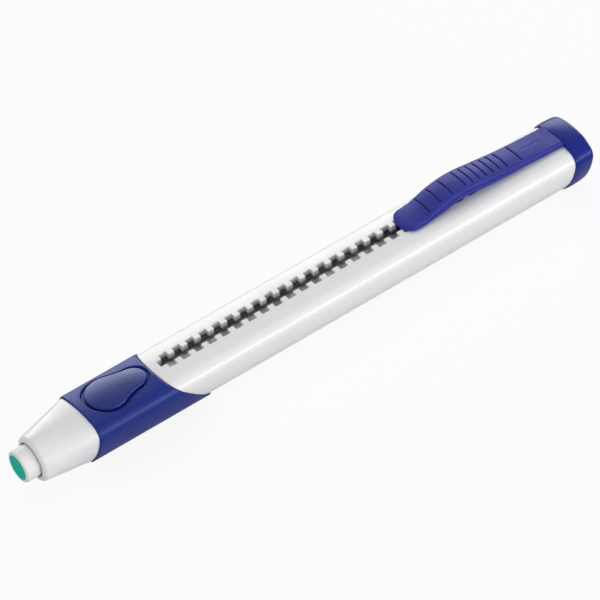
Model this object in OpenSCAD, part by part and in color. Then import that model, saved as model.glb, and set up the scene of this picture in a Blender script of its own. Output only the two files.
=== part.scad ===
// Stick eraser in a pen-shaped holder. A triangular barrel has a toothed slot along its top face,
// and a slider with a pocket clip pushes the eraser out of the nose, one notch at a time.
// X runs from the eraser's rubbing face (x = 0) to the end cap, Z points out of the slotted face,
// and the eraser's axis is the X axis. All sizes are in millimetres.

/* [Eraser] */
// Radius of the eraser stick over its skin
eraser_r = 3.45; // [3.3:0.05:3.5]
// Radius of the coloured core inside the skin
core_r = 2.75; // [1.5:0.05:3]
// Rounding of the skin's worn front edge
eraser_round = 0.5; // [0.1:0.05:0.6]
// How far the eraser stands out of the nose as drawn
eraser_out = 3.2; // [1:0.1:12]

/* [Nose] */
// Length of the nose cone
nose_len = 12; // [9:0.1:16]
// Radius of the nose at its round front rim
nose_rim_r = 5; // [4.6:0.05:5.4]
// Rounding of the nose's front edge
nose_round = 0.9; // [0.2:0.05:1]
// Radius of the hole in the nose
nose_bore_r = 3.7; // [3.6:0.01:3.8]
// Length of the hole before the socket behind it
nose_lip = 4.6; // [2:0.1:6]
// Radius of the barrel's round spigot inside the nose
spigot_r = 4.5; // [4.2:0.05:4.6]

/* [Barrel] */
// Length of the barrel behind the nose
barrel_len = 120.2; // [115:0.1:140]
// Distance from the axis to the middle of each face
face_h = 5.6; // [5.2:0.05:5.8]
// Radius of the three rounded corners
corner_r = 2.4; // [2.1:0.05:2.6]
// Distance from the axis to the centre of a corner's rounding
corner_c = 5.25; // [5:0.05:5.4]
// Thickness of the barrel's wall
wall = 1.8; // [1.5:0.05:1.9]

/* [Toothed slot] */
// Distance from the nose to the front end of the slot
slot_start = 19.3; // [18.5:0.1:21]
// Width of the slot between the teeth
slot_w = 2; // [1.6:0.1:2.4]
// Width across a pair of notches
notch_w = 4.4; // [3.6:0.1:5]
// Length of one notch
notch_len = 1.8; // [1.4:0.05:2]
// Distance from one notch to the next
notch_pitch = 3.2; // [3:0.05:3.3]
// Distance from the slot's front end to the middle of the first notch
notch_start = 2.2; // [1.6:0.1:2.6]
// Number of pairs of notches
notch_count = 26; // [25:1:27]

/* [Grip] */
// Length of the grip along the axis
grip_len = 22.1; // [20:0.1:23]
// Slant of the grip's rear edge, in degrees from square
grip_slant = 41.7; // [20:0.5:45]
// How far the grip stands proud of the barrel
grip_proud = 0.35; // [0.1:0.05:0.6]
// Depth of the grip's seat in the barrel
grip_seat = 0.6; // [0.4:0.05:0.7]

/* [Thumb pad] */
// Distance from the grip's front edge to the centre of the pad's large lobe
pad_start = 6.9; // [6.5:0.1:8]
// Radius of the large lobe
pad_big_r = 4.6; // [3.5:0.05:4.8]
// Radius of the small lobe
pad_small_r = 2.85; // [2.2:0.05:3.4]
// Distance between the centres of the two lobes
pad_len = 6.2; // [4.5:0.1:6.5]
// Radius of the hollow curve at the waist
pad_waist_r = 14; // [8:0.5:40]
// Width of the groove round the pad
pad_groove = 0.6; // [0.3:0.05:0.7]
// Depth of the groove and of the pocket that the pad sits in
pad_deep = 0.55; // [0.4:0.05:0.7]
// Height of the pad's crown above the grip
pad_crown = 0.55; // [0.3:0.05:0.8]
// Radius of the pad's crown along the pen
pad_crown_long = 45; // [30:1:80]
// Radius of the pad's crown across the pen
pad_crown_across = 18; // [14:1:30]

/* [Slider] */
// Number of the notch that the front pair of lugs sits in
rest_notch = 22; // [21:1:22]
// Distance from the front lugs back to the eraser's seat
seat_ahead = 3.1; // [3:0.1:4]
// Length of the three prongs that hold the eraser's rear end
prong_len = 9; // [5:0.5:12]
// Width of each prong
prong_w = 4; // [3:0.1:4.2]
// Length of the post that joins the clip to the carriage
post_len = 5.5; // [4:0.5:6]
// Distance from the post to the end cap
post_back = 3.5; // [3:0.1:4]
// Sliding clearance between the slider's pieces and the barrel
run_gap = 0.12; // [0.1:0.01:0.2]
// Clearance between the eraser and what guides it
eraser_gap = 0.05; // [0.02:0.01:0.08]

/* [Lock] */
// How far the lock moves down to leave the notches
press = 1.6; // [1.5:0.05:1.8]
// Thickness of the lock's foot under the wall
foot_t = 0.7; // [0.5:0.05:1]
// Width of the lock's foot
foot_w = 5.2; // [4.8:0.1:5.4]
// How far the foot reaches past the lugs at each end
foot_over = 0.6; // [0.4:0.1:1]
// Space left under the lock when it is pressed
press_gap = 0.3; // [0.2:0.05:0.5]
// Gap round each lug in its notch
lug_gap = 0.15; // [0.1:0.01:0.2]
// Distance of the lugs' tops below the barrel's face
lug_below = 0.4; // [0.3:0.05:0.6]

/* [Clip] */
// Distance from the clip's tip to the front lugs
clip_tip = 13.9; // [13:0.1:14]
// Width of the clip over its rim
clip_w = 7.3; // [6:0.1:8.2]
// Length of the clip's rounded tip
tip_len = 2.6; // [2:0.1:3.6]
// Thickness of the rim along the clip's lower edge
rim_t = 0.5; // [0.3:0.05:0.6]
// How far the rim stands out
rim_out = 0.22; // [0.1:0.02:0.5]
// Rounding of the clip's upper edges
edge_round = 0.5; // [0.3:0.05:0.7]
// Height of the open arch under the clip
arch_h = 1.9; // [1.8:0.05:2.5]
// Thickness of the clip at the crown of the arch
strap_t = 1.7; // [1:0.05:2.2]
// Thickness of the clip at its rear end
strap_rear_t = 1.1; // [1:0.05:1.6]
// Length of the grip lines across the clip
line_len = 5.3; // [4:0.1:6.6]
// Width of a grip line
line_w = 0.28; // [0.15:0.01:0.4]
// Depth of a grip line
line_deep = 0.25; // [0.1:0.01:0.4]

/* [End cap] */
// Distance from the cap's front edge to its rear face
cap_len = 4.8; // [4:0.1:8]
// How far the cap stands proud of the barrel
cap_proud = 0.35; // [0.2:0.05:0.8]
// Thickness of the cap's rear wall
cap_floor = 1.9; // [1.5:0.1:2.5]
// Rounding of the cap's rear edge
cap_round = 1.2; // [0.5:0.1:1.5]
// Height of the cap's crest above the clip's rear end
cap_crest = 0.12; // [0:0.02:0.5]
// Fall of the crest towards the rear, against the rounding of the rear edge
crest_fall = 1.7; // [1:0.1:2]
// Length of the cap's plug inside the barrel
plug_len = 5.2; // [3:0.1:5.5]
// Gap between the clip's rear end and the cap
cap_gap = 0.15; // [0.1:0.05:0.3]

/* [Hidden] */
$fn = 64;
eps = 0.01;
fit = 0.02;
reach = 2 * barrel_len;

// Stations along the axis
shoulder_x = eraser_out + nose_len;
rear_x = shoulder_x + barrel_len;
slot_x = shoulder_x + slot_start;
notch_x = slot_x + notch_start;
lug_x = notch_x + rest_notch * notch_pitch;
seat_x = lug_x - seat_ahead;
tip_x = lug_x - clip_tip;
cap_x = rear_x + cap_floor - cap_len;
clip_len = cap_x - cap_gap - tip_x;
spigot_x = eraser_out + nose_lip + fit;
inner_h = face_h - wall;
carriage_rear_x = rear_x - plug_len - run_gap;
post_rear_x = cap_x - post_back;
post_front_x = post_rear_x - post_len;
grip_end_x = shoulder_x + grip_len + 2 * face_h;
pad_x = shoulder_x + pad_start;

// Heights above the axis
foot_top = face_height(foot_w / 2, -wall) - run_gap;
foot_bottom = foot_top - foot_t;
pocket_floor = foot_bottom - press - press_gap;
clip_rear_top = face_h + strap_rear_t;

// Sizes of the lock's lugs and of the pieces that pass the slot
lug_len = notch_len - 2 * lug_gap;
lug_w = notch_w - 2 * lug_gap;
stem_w = slot_w - 2 * run_gap;
foot_x = lug_x - lug_len / 2 - foot_over;
foot_len = notch_pitch + lug_len + 2 * foot_over;

// Outline of the rounded triangle, grown outwards by d. Each face is a shallow arc that runs
// smoothly into the round corners.
function face_rise() =
    let (k = face_h - corner_r) (k * k - corner_c * corner_c) / (corner_c - 2 * k);
function corner_cut() =
    90 - atan2(corner_c / 2 + face_rise(), corner_c * cos(30));
function arc(cx, cy, r, a0, a1, n) =
    [for (i = [0:n]) let (a = a0 + (a1 - a0) * i / n) [cx + r * cos(a), cy + r * sin(a)]];
function triangle_outline(d) =
    let (e = face_rise(), q = corner_cut())
    [for (k = [0:2]) let (t = 120 * k)
        each concat(
            arc(corner_c * cos(t + 30), corner_c * sin(t + 30), corner_r + d,
                t - 30 + q, t + 90 - q, 16),
            arc(-e * cos(t + 90), -e * sin(t + 90), face_h + e + d,
                t + 90 - q, t + 90 + q, 10))];

// Height of a face's arc at a distance from its middle, grown outwards by d
function face_height(y, d) =
    let (e = face_rise(), r = face_h + e + d) sqrt(r * r - y * y) - e;

// A prism with its outline in the YZ plane, from x0 to x1
module along_x(x0, x1) {
    translate([x0, 0, 0]) rotate([90, 0, 90]) linear_extrude(x1 - x0) children();
}
module triangle_bar(d, x0, x1) {
    along_x(x0, x1) polygon(triangle_outline(d));
}
module rod(r, x0, x1) {
    along_x(x0, x1) circle(r);
}
// The space behind the grip's slanted rear edge
module behind_grip(gap) {
    translate([shoulder_x + grip_len + gap, 0, 0]) rotate([0, -grip_slant, 0])
        translate([0, -reach, -reach]) cube([2 * reach, 2 * reach, 2 * reach]);
}

// White barrel with the toothed slot
module barrel() {
    color("white") difference() {
        union() {
            triangle_bar(-grip_seat, shoulder_x, grip_end_x);
            intersection() {
                triangle_bar(0, shoulder_x + 1, rear_x);
                behind_grip(0);
            }
            rod(spigot_r, spigot_x, shoulder_x + 1);
        }
        rod(nose_bore_r, spigot_x - 1, shoulder_x + 3);
        triangle_bar(-wall, shoulder_x + 2, rear_x + 1);
        slot_cut();
    }
}
module slot_cut() {
    z0 = inner_h - 1;
    translate([slot_x, -slot_w / 2, z0]) cube([rear_x - slot_x + 1, slot_w, face_h]);
    for (k = [0:notch_count - 1])
        translate([notch_x + k * notch_pitch - notch_len / 2, -notch_w / 2, z0])
            cube([notch_len, notch_w, face_h]);
}

// White nose cone, round in front and triangular behind
module nose_cone() {
    color("white") difference() {
        hull() {
            translate([eraser_out, 0, 0]) rotate([0, 90, 0]) rotate_extrude($fn = 96)
                union() {
                    square([nose_rim_r - nose_round, 2 * nose_round]);
                    translate([0, nose_round]) square([nose_rim_r, nose_round]);
                    translate([nose_rim_r - nose_round, nose_round]) circle(nose_round, $fn = 32);
                }
            triangle_bar(0, shoulder_x - 0.2, shoulder_x);
        }
        rod(nose_bore_r, eraser_out - 1, shoulder_x + 1);
        rod(spigot_r + fit, eraser_out + nose_lip, shoulder_x + 1);
    }
}

// Soft blue grip between the nose and the barrel's slanted shoulder
module grip_sleeve() {
    color("mediumblue") difference() {
        triangle_bar(grip_proud, shoulder_x, grip_end_x);
        triangle_bar(-grip_seat + fit, shoulder_x - 1, grip_end_x + 1);
        behind_grip(-fit);
        pad_prism(pad_groove, 0);
    }
}
// Outline of the thumb pad: two round lobes joined by hollow curves, grown outwards by d
function pad_outline(d) =
    let (r1 = pad_big_r + d, r2 = pad_small_r + d, rw = pad_waist_r - d,
         a = r1 + rw, b = r2 + rw,
         wx = (a * a - b * b + pad_len * pad_len) / (2 * pad_len),
         wy = sqrt(a * a - wx * wx),
         t1 = atan2(wy, wx), t2 = atan2(wy, wx - pad_len))
    concat(
        arc(0, 0, r1, t1, 360 - t1, 40),
        arc(wx, -wy, rw, 180 - t1, 180 - t2, 8),
        arc(pad_len, 0, r2, -t2, t2, 28),
        arc(wx, wy, rw, 180 + t2, 180 + t1, 8));
// An upright prism on the outline, above the pocket's floor, which runs a little below the grip
module pad_prism(d, gap) {
    difference() {
        translate([pad_x, 0, 0]) linear_extrude(2 * face_h) polygon(pad_outline(d));
        triangle_bar(grip_proud - pad_deep + gap, shoulder_x - 1, grip_end_x);
    }
}
module thumb_pad() {
    crown_z = face_h + grip_proud + pad_crown;
    color("royalblue") intersection() {
        pad_prism(0, fit);
        translate([pad_x + pad_len / 3, 0, crown_z - pad_crown_long]) rotate([90, 0, 0])
            rotate_extrude($fn = 180) translate([pad_crown_long - pad_crown_across, 0])
                circle(pad_crown_across, $fn = 120);
    }
}

// Blue end cap, plugged into the barrel's open rear end
module cap_slice(inset, x) {
    hull() {
        triangle_bar(cap_proud - inset, x, x + eps);
        translate([x, -clip_w / 2 + inset, 0])
            cube([eps, clip_w - 2 * inset, clip_rear_top + cap_crest - crest_fall * inset]);
    }
}
module end_cap() {
    steps = 5;
    end_x = cap_x + cap_len;
    color("mediumblue") {
        difference() {
            hull() {
                cap_slice(0, cap_x);
                for (i = [0:steps]) let (a = 90 * i / steps)
                    cap_slice(cap_round * (1 - cos(a)), end_x - cap_round * (1 - sin(a)) - eps);
            }
            triangle_bar(fit, cap_x - 1, rear_x);
        }
        triangle_bar(-wall - fit, rear_x - plug_len, rear_x + 0.5);
    }
}

// Heights of the clip's underside and top above the barrel's face, as smooth curves through a
// few points. Each point is [distance from the tip, height, slope].
crown_s = clip_tip + 0.6;
under_points = [
    [0, 0.05, 0], [4.4, 0.1, 0.08],
    [crown_s - 4, arch_h * 0.76, 0.25],
    [crown_s - 0.5, arch_h, 0],
    [crown_s + 6, arch_h * 0.7, -0.09],
    [clip_len, 0.05, -0.02]];
top_points = [
    [0, rim_t, 0.7],
    [3, 1.25, 0.17],
    [6.3, 1.95, 0.33],
    [crown_s - 5.3, 2.9, 0.25],
    [crown_s, arch_h + strap_t, 0],
    [crown_s + 6.3, 2.97, -0.125],
    [crown_s + 15.7, 1.77, -0.11],
    [clip_len, strap_rear_t, -0.06]];
function span_of(pts, s, i = 0) =
    i >= len(pts) - 2 || s < pts[i + 1][0] ? i : span_of(pts, s, i + 1);
function curve_at(pts, s) =
    let (i = span_of(pts, s), p = pts[i], q = pts[i + 1], w = q[0] - p[0], t = (s - p[0]) / w)
    p[1] * (2 * t * t * t - 3 * t * t + 1) + q[1] * (3 * t * t - 2 * t * t * t)
    + w * (p[2] * (t * t * t - 2 * t * t + t) + q[2] * (t * t * t - t * t));
function half_width(s) =
    clip_w / 2 * (s < tip_len ? sqrt(1 - pow(1 - s / tip_len, 2)) : 1);
function clip_section(s) =
    let (w = half_width(s), q = min(rim_out, w * 0.3), b = w - q,
         z0 = face_h + curve_at(under_points, s), z1 = face_h + curve_at(top_points, s),
         zr = min(z0 + rim_t, z1 - 0.02), e = min(edge_round, b * 0.45, (z1 - zr) * 0.8),
         right = concat([[w, z0], [w, zr]], arc(b - e, z1 - e, e, 0, 90, 4)))
    concat(right, [for (i = [len(right) - 1:-1:0]) [-right[i][0], right[i][1]]]);
clip_stations = concat(
    [for (a = [10:10:90]) tip_len * (1 - cos(a))],
    [for (i = [1:28]) tip_len + (clip_len - tip_len) * i / 28]);
// A closed skin through a row of sections that all have the same number of points
module skin(sections) {
    n = len(sections);
    m = len(sections[0]);
    polyhedron(
        points = [for (s = sections) each s],
        faces = concat(
            [for (j = [1:m - 2]) [0, j, j + 1]],
            [for (j = [1:m - 2]) [(n - 1) * m, (n - 1) * m + j + 1, (n - 1) * m + j]],
            [for (i = [0:n - 2], j = [0:m - 1]) let (k = (j + 1) % m)
                each [[i * m + j, (i + 1) * m + j, (i + 1) * m + k],
                      [i * m + j, (i + 1) * m + k, i * m + k]]]));
}
line_places = concat(
    [for (i = [0:2]) 6.35 + 2.87 * i],
    [for (i = [0:6]) 15.5 + 1.73 * i],
    [29.4]);
module clip() {
    color("slateblue") difference() {
        union() {
            skin([for (s = clip_stations) [for (p = clip_section(s)) [tip_x + s, p[0], p[1]]]]);
            clip_post();
        }
        for (s = line_places) {
            z = face_h + curve_at(top_points, s);
            slope = atan((curve_at(top_points, s + 0.5) - curve_at(top_points, s - 0.5)));
            translate([tip_x + s, 0, z]) rotate([0, -slope, 0])
                translate([-line_w / 2, -line_len / 2, -line_deep]) cube([line_w, line_len, 2]);
        }
    }
}
module clip_post() {
    translate([post_front_x, -stem_w / 2, pocket_floor + fit])
        cube([post_len, stem_w, face_h + strap_rear_t - rim_t / 2 - pocket_floor]);
}

// Blue lock: a foot under the wall, two pairs of lugs in the notches and a stem up to the clip
module lock_bar() {
    stem_top = face_h + arch_h * 0.8;
    color("slateblue") {
        translate([foot_x, -foot_w / 2, foot_bottom]) cube([foot_len, foot_w, foot_t]);
        translate([foot_x + foot_over, -stem_w / 2, foot_bottom])
            cube([foot_len - 2 * foot_over, stem_w, stem_top - foot_bottom]);
        for (k = [0, 1])
            translate([foot_x + foot_over + k * notch_pitch, -lug_w / 2, foot_bottom])
                cube([lug_len, lug_w, face_h - lug_below - foot_bottom]);
    }
}

// Black carriage that slides in the barrel, with three prongs round the eraser's rear end
module carriage() {
    color("dimgray") difference() {
        union() {
            triangle_bar(-wall - run_gap, seat_x, carriage_rear_x);
            intersection() {
                triangle_bar(-wall - run_gap, seat_x - prong_len, seat_x + 1);
                for (t = [30, 150, 270])
                    rotate([t, 0, 0]) translate([0, 0, -prong_w / 2]) cube([reach, reach, prong_w]);
            }
        }
        rod(eraser_r + eraser_gap, 0, seat_x);
        translate([foot_x - run_gap, -foot_w / 2 - run_gap, pocket_floor])
            cube([foot_len + 2 * run_gap, foot_w + 2 * run_gap, face_h]);
        translate([post_front_x - fit, -stem_w / 2 - fit, pocket_floor])
            cube([post_len + 2 * fit, stem_w + 2 * fit, face_h]);
    }
}

// White skin and coloured core of the eraser stick
module eraser_skin() {
    color("white") difference() {
        rotate([0, 90, 0]) rotate_extrude($fn = 96)
            union() {
                square([eraser_r - eraser_round, seat_x - fit]);
                translate([0, eraser_round]) square([eraser_r, seat_x - fit - eraser_round]);
                translate([eraser_r - eraser_round, eraser_round]) circle(eraser_round, $fn = 32);
            }
        rod(core_r, -1, seat_x + 1);
    }
}
module eraser_core() {
    color("mediumturquoise") rod(core_r, 0, seat_x - fit);
}

barrel();
nose_cone();
grip_sleeve();
thumb_pad();
end_cap();
carriage();
clip();
lock_bar();
eraser_skin();
eraser_core();
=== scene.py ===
"""Looks of the pencil eraser stick: its finished pieces, their materials, the light and the camera.

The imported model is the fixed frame. Lengths are given in millimetres, as in the part's drawing, and are turned into
metres where Blender takes them. X runs from the eraser's rubbing face to the end cap, Z out of the slotted face.
"""

import bmesh
import bpy
import numpy as np
from mathutils import Matrix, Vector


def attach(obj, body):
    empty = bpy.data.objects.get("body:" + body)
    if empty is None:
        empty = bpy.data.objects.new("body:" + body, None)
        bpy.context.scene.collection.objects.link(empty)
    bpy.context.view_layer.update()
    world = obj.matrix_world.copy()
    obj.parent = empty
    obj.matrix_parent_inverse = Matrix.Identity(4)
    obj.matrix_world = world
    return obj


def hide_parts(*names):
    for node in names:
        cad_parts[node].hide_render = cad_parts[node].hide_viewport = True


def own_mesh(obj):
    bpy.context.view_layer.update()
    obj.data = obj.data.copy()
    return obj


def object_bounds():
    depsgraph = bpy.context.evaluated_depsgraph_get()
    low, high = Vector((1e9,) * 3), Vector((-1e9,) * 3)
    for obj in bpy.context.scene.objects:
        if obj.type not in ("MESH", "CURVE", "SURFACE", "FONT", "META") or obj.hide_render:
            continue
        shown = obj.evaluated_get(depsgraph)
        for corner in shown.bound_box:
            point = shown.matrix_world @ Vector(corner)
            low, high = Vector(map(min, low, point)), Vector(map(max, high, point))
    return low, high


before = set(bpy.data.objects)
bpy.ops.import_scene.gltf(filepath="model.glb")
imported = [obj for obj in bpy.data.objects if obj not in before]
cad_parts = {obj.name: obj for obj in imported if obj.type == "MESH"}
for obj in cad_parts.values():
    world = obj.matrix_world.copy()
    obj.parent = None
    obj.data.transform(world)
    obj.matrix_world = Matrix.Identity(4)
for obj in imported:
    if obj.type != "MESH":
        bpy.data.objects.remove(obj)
cad_box = [list(corner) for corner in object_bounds()]

# ---------------------------------------------------------------------------------------------------------------
# Barrel. The real one is a three-sided tube with softly rounded corners, moulded in opaque white plastic. A slot
# with notches on both sides runs along its top face, and its front end is a round spigot and a seat for the grip.
MM = 0.001              # a millimetre in metres
FACE_H = 5.6            # from the axis to the middle of a face
CORNER_R = 2.4          # radius of a rounded corner
CORNER_C = 5.25         # from the axis to the centre of a corner's rounding
FACE_RISE = ((FACE_H - CORNER_R) ** 2 - CORNER_C ** 2) / (CORNER_C - 2 * (FACE_H - CORNER_R))
FACE_R = FACE_H + FACE_RISE             # radius of a face's shallow arc, and half of the angle that it spans
FACE_HALF = 90 - np.degrees(np.arctan2(CORNER_C / 2 + FACE_RISE, CORNER_C * np.cos(np.pi / 6)))
WALL = 1.8
SHOULDER_X = 15.2       # where the nose ends and the barrel's seat starts
INSIDE_X = SHOULDER_X + 2               # where the round bore opens into the three-sided inside
REAR_X = 135.4
SPIGOT_X, SPIGOT_R, BORE_R = 7.82, 4.5, 3.7
SEAT = 0.6              # depth of the grip's seat
SLANT_X = 37.3          # where the grip's slanted rear edge crosses the axis
SLANT = np.tan(np.radians(41.7))
SQUARE_X = 60           # rings in front of this place lean as the grip's edge does, less and less
SLOT_X = 34.5           # the slot's front end
SLOT_HALF, NOTCH_HALF = 1.0, 2.2
NOTCH_X, NOTCH_PITCH, NOTCH_LEN, NOTCHES = 36.7, 3.2, 1.8, 26
PLAIN_TURNS = np.array([FACE_HALF, 11.5, 8.8])      # columns between the face's edge and the notches, in degrees
BEFORE_SLOT_X, BEHIND_NOTCHES_X = 33.4, (120, 124, 128, 132)        # rings on the plain parts of the tube
EDGE_ROUND = 0.16       # rounding of the slot's and notches' edges
SLOT_SHADE_TOP, SLOT_SHADE_DEEP = 5.0, 3.7          # height where the slot's painted shade starts, and where it is full
SLOT_SHADE_HALF = 1.6 * NOTCH_HALF            # how far it reaches to both sides of the slot
HAIR_STRETCH, HAIR_SCALE, HAIR_PEAKS = 100, 5200, (0.66, 0.78)      # the scratches' noise, and what shows of it
HAIR_DULL = 0.3         # how much rougher a scratch is
MOTTLE_SPAN = 0.3, 0.7  # the part of the mottle's noise that the roughness follows
RELIEF = 0.1            # height of the bump at full strength


def outline(turn, grown):
    """The rounded triangle, grown outwards: y and z of the point whose outward direction is turn, in degrees.
    A point is its arc's centre plus the arc's radius along that direction. Within FACE_HALF of the middle of a
    face the arc is the face's long shallow one, and elsewhere it is the nearest corner's."""
    turn = np.asarray(turn, float)
    face = 90 + 120 * np.round((turn - 90) / 120)
    shallow = abs(turn - face) <= FACE_HALF + 1e-9
    middle = np.radians(np.where(shallow, face + 180, face + np.where(turn < face, -60, 60)))
    reach = np.where(shallow, FACE_RISE, CORNER_C)
    radius = np.where(shallow, FACE_R, CORNER_R) + grown
    out = np.radians(turn)
    return reach * np.cos(middle) + radius * np.cos(out), reach * np.sin(middle) + radius * np.sin(out)


def circle(turn, radius):
    """A circle about the axis: the radius times the cosine and the sine of the direction."""
    out = np.radians(turn)
    return radius * np.cos(out), radius * np.sin(out)


def turns(top, per_face, per_corner):
    """Directions round the outline, in degrees: the given ones across the top face, measured from its middle,
    and evenly spaced ones across each corner and each of the two other faces."""
    face = np.linspace(-FACE_HALF, FACE_HALF, per_face + 1)
    corner = np.linspace(FACE_HALF, 120 - FACE_HALF, per_corner + 1)[1:-1]
    return np.concatenate([90 + top, 90 + corner, 210 + face, 210 + corner, 330 + face, 330 + corner])


def ring(x, yz):
    """Points of one ring, or of a grid of rings, from the place along the axis and from y and z. Each of them is
    one number, or has one for each point."""
    return np.stack(np.broadcast_arrays(x, *yz), -1)


def grid_faces(rows, columns, closed):
    """Faces of a grid of rings, as rows of four point numbers: a point, the next in its ring, and the same two in
    the next ring. The last ring is joined to the first where closed is true."""
    i, j = np.meshgrid(np.arange(rows if closed else rows - 1), np.arange(columns), indexing="ij")
    k, m = (i + 1) % rows, (j + 1) % columns
    return np.stack([i * columns + j, i * columns + m, k * columns + m, k * columns + j], -1)


def new_piece(name, points, faces, material, body, slot, sharp=35):
    """A piece from its points in millimetres and its faces. Points that fall together are joined, faces are turned
    outwards, and edges that bend more than sharp degrees stay crisp."""
    mesh = bpy.data.meshes.new(name)
    mesh.from_pydata((np.reshape(points, (-1, 3)) * MM).tolist(), [], np.reshape(faces, (-1, 4)).tolist())
    shape = bmesh.new()
    shape.from_mesh(mesh)
    bmesh.ops.remove_doubles(shape, verts=shape.verts, dist=1e-7)
    bmesh.ops.recalc_face_normals(shape, faces=shape.faces)
    shape.to_mesh(mesh)
    shape.free()
    mesh.shade_smooth()
    mesh.set_sharp_from_angle(angle=np.radians(sharp))
    mesh.materials.append(material)
    piece = bpy.data.objects.new(name, mesh)
    bpy.context.scene.collection.objects.link(piece)
    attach(piece, body)
    return piece


def soften(piece, width):
    """Rounds a piece's crisp edges, as the polished mould does. The width is in millimetres."""
    bevel = piece.modifiers.new("edge rounding", "BEVEL")
    bevel.width = width * MM
    bevel.segments = 3
    bevel.limit_method = "ANGLE"
    bevel.angle_limit = np.radians(50)
    bevel.use_clamp_overlap = False
    bevel.harden_normals = True


def add_node(tree, kind, inputs=None, **settings):
    """Adds a shader node and returns its outputs. An input, given by name or number, is another node's output or a
    plain value. The settings come first, because they decide which inputs there are."""
    node = tree.nodes.new(kind)
    for name, value in settings.items():
        setattr(node, name, value)
    for name, value in (inputs or {}).items():
        if isinstance(value, bpy.types.NodeSocket):
            tree.links.new(value, node.inputs[name])
        else:
            node.inputs[name].default_value = value
    return node.outputs


def maths(tree, operation, *values):
    """Result of a Math node of one operation on the values."""
    return add_node(tree, "ShaderNodeMath", dict(enumerate(values)), operation=operation)[0]


def ramp(tree, value, low, high, start=0, stop=1, kind="LINEAR"):
    """Result of a Map Range node: start where the value is low, stop where it is high, and in between a straight
    line, or an S-curve for the kind SMOOTHSTEP."""
    limits = {"Value": value, "From Min": low, "From Max": high, "To Min": start, "To Max": stop}
    return add_node(tree, "ShaderNodeMapRange", limits, interpolation_type=kind)["Result"]


def new_group(name, inputs, outputs):
    """A node group that is still empty, with its named inputs and outputs, each given with its kind of socket."""
    group = bpy.data.node_groups.new(name, "ShaderNodeTree")
    for side, sockets in (("INPUT", inputs), ("OUTPUT", outputs)):
        for socket, kind in sockets.items():
            group.interface.new_socket(name=socket, in_out=side, socket_type="NodeSocket" + kind)
    return group


def moulded_group():
    """Node group of a moulded surface. Noise gives three masks from the point's place on the object: a fine grain,
    a slow unevenness, and hair scratches, which are the peaks of a noise that is stretched along the object."""
    group = new_group("moulded surface", {"Place": "Vector", "Grain Scale": "Float", "Mottle Scale": "Float"},
                      {"Grain": "Float", "Mottle": "Float", "Scratches": "Float"})
    given = add_node(group, "NodeGroupInput")
    masks = {}
    for name, detail in (("Grain", 2), ("Mottle", 4)):
        noise = {"Vector": given["Place"], "Scale": given[name + " Scale"], "Detail": detail}
        masks[name] = add_node(group, "ShaderNodeTexNoise", noise)["Fac"]
    stretched = add_node(group, "ShaderNodeVectorMath", {0: given["Place"], 1: (1 / HAIR_STRETCH, 1, 1)},
                         operation="MULTIPLY")[0]
    hairs = add_node(group, "ShaderNodeTexNoise", {"Vector": stretched, "Scale": HAIR_SCALE, "Detail": 1})["Fac"]
    masks["Scratches"] = ramp(group, hairs, *HAIR_PEAKS)
    add_node(group, "NodeGroupOutput", masks)
    return group


def painted_shade_group():
    """Node group of painted shade: the unshaded colour and the shade's colour are mixed by the mask times the share.
    """
    group = new_group("painted shade", {"Unshaded": "Color", "Shade Colour": "Color", "Mask": "Float", "Share": "Float"},
                      {"Colour": "Color"})
    given = add_node(group, "NodeGroupInput")
    part = maths(group, "MULTIPLY", given["Mask"], given["Share"])
    mixed = add_node(group, "ShaderNodeMix", {"Factor": part, "A": given["Unshaded"], "B": given["Shade Colour"]},
                     data_type="RGBA")
    add_node(group, "NodeGroupOutput", {"Colour": mixed["Result"]})
    return group


MOULDED, PAINTED_SHADE = moulded_group(), painted_shade_group()


def moulded(name, light, dark, smooth, rough, grain=2600, mottle=140, bump=0.12, scratch=0.5, specular=0.5,
            tint=(1, 1, 1)):
    """Material of a moulded piece. The colour runs from light to dark and the roughness from smooth to rough with
    the slow unevenness, scratches are a little rougher, and grain and scratches give the bump."""
    material = bpy.data.materials.new(name)
    material.use_nodes = True
    tree = material.node_tree
    shader = tree.nodes["Principled BSDF"]
    shader.inputs["Specular IOR Level"].default_value = specular
    shader.inputs["Specular Tint"].default_value = (*tint, 1)
    place = add_node(tree, "ShaderNodeTexCoord")["Object"]
    masks = add_node(tree, "ShaderNodeGroup", {"Place": place, "Grain Scale": grain, "Mottle Scale": mottle},
                     node_tree=MOULDED)
    colour = add_node(tree, "ShaderNodeMix", {"Factor": masks["Mottle"], "A": (*light, 1), "B": (*dark, 1)},
                      data_type="RGBA")["Result"]
    gloss = ramp(tree, masks["Mottle"], *MOTTLE_SPAN, smooth, rough)
    dulled = maths(tree, "MULTIPLY_ADD", masks["Scratches"], scratch * HAIR_DULL, gloss)
    height = maths(tree, "MULTIPLY_ADD", masks["Scratches"], -scratch, masks["Grain"])
    relief = add_node(tree, "ShaderNodeBump", {"Height": height, "Strength": bump, "Distance": RELIEF * MM})
    for socket, value in (("Base Color", colour), ("Roughness", dulled), ("Normal", relief["Normal"])):
        tree.links.new(value, shader.inputs[socket])
    return material


def shade(material, mask, colour, share):
    """Lays painted shade of a colour over a material's base colour, by share times the mask."""
    tree = material.node_tree
    base = tree.nodes["Principled BSDF"].inputs["Base Color"]
    sockets = {"Unshaded": base.links[0].from_socket, "Shade Colour": (*colour, 1), "Mask": mask, "Share": share}
    tree.links.new(add_node(tree, "ShaderNodeGroup", sockets, node_tree=PAINTED_SHADE)["Colour"], base)


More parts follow.
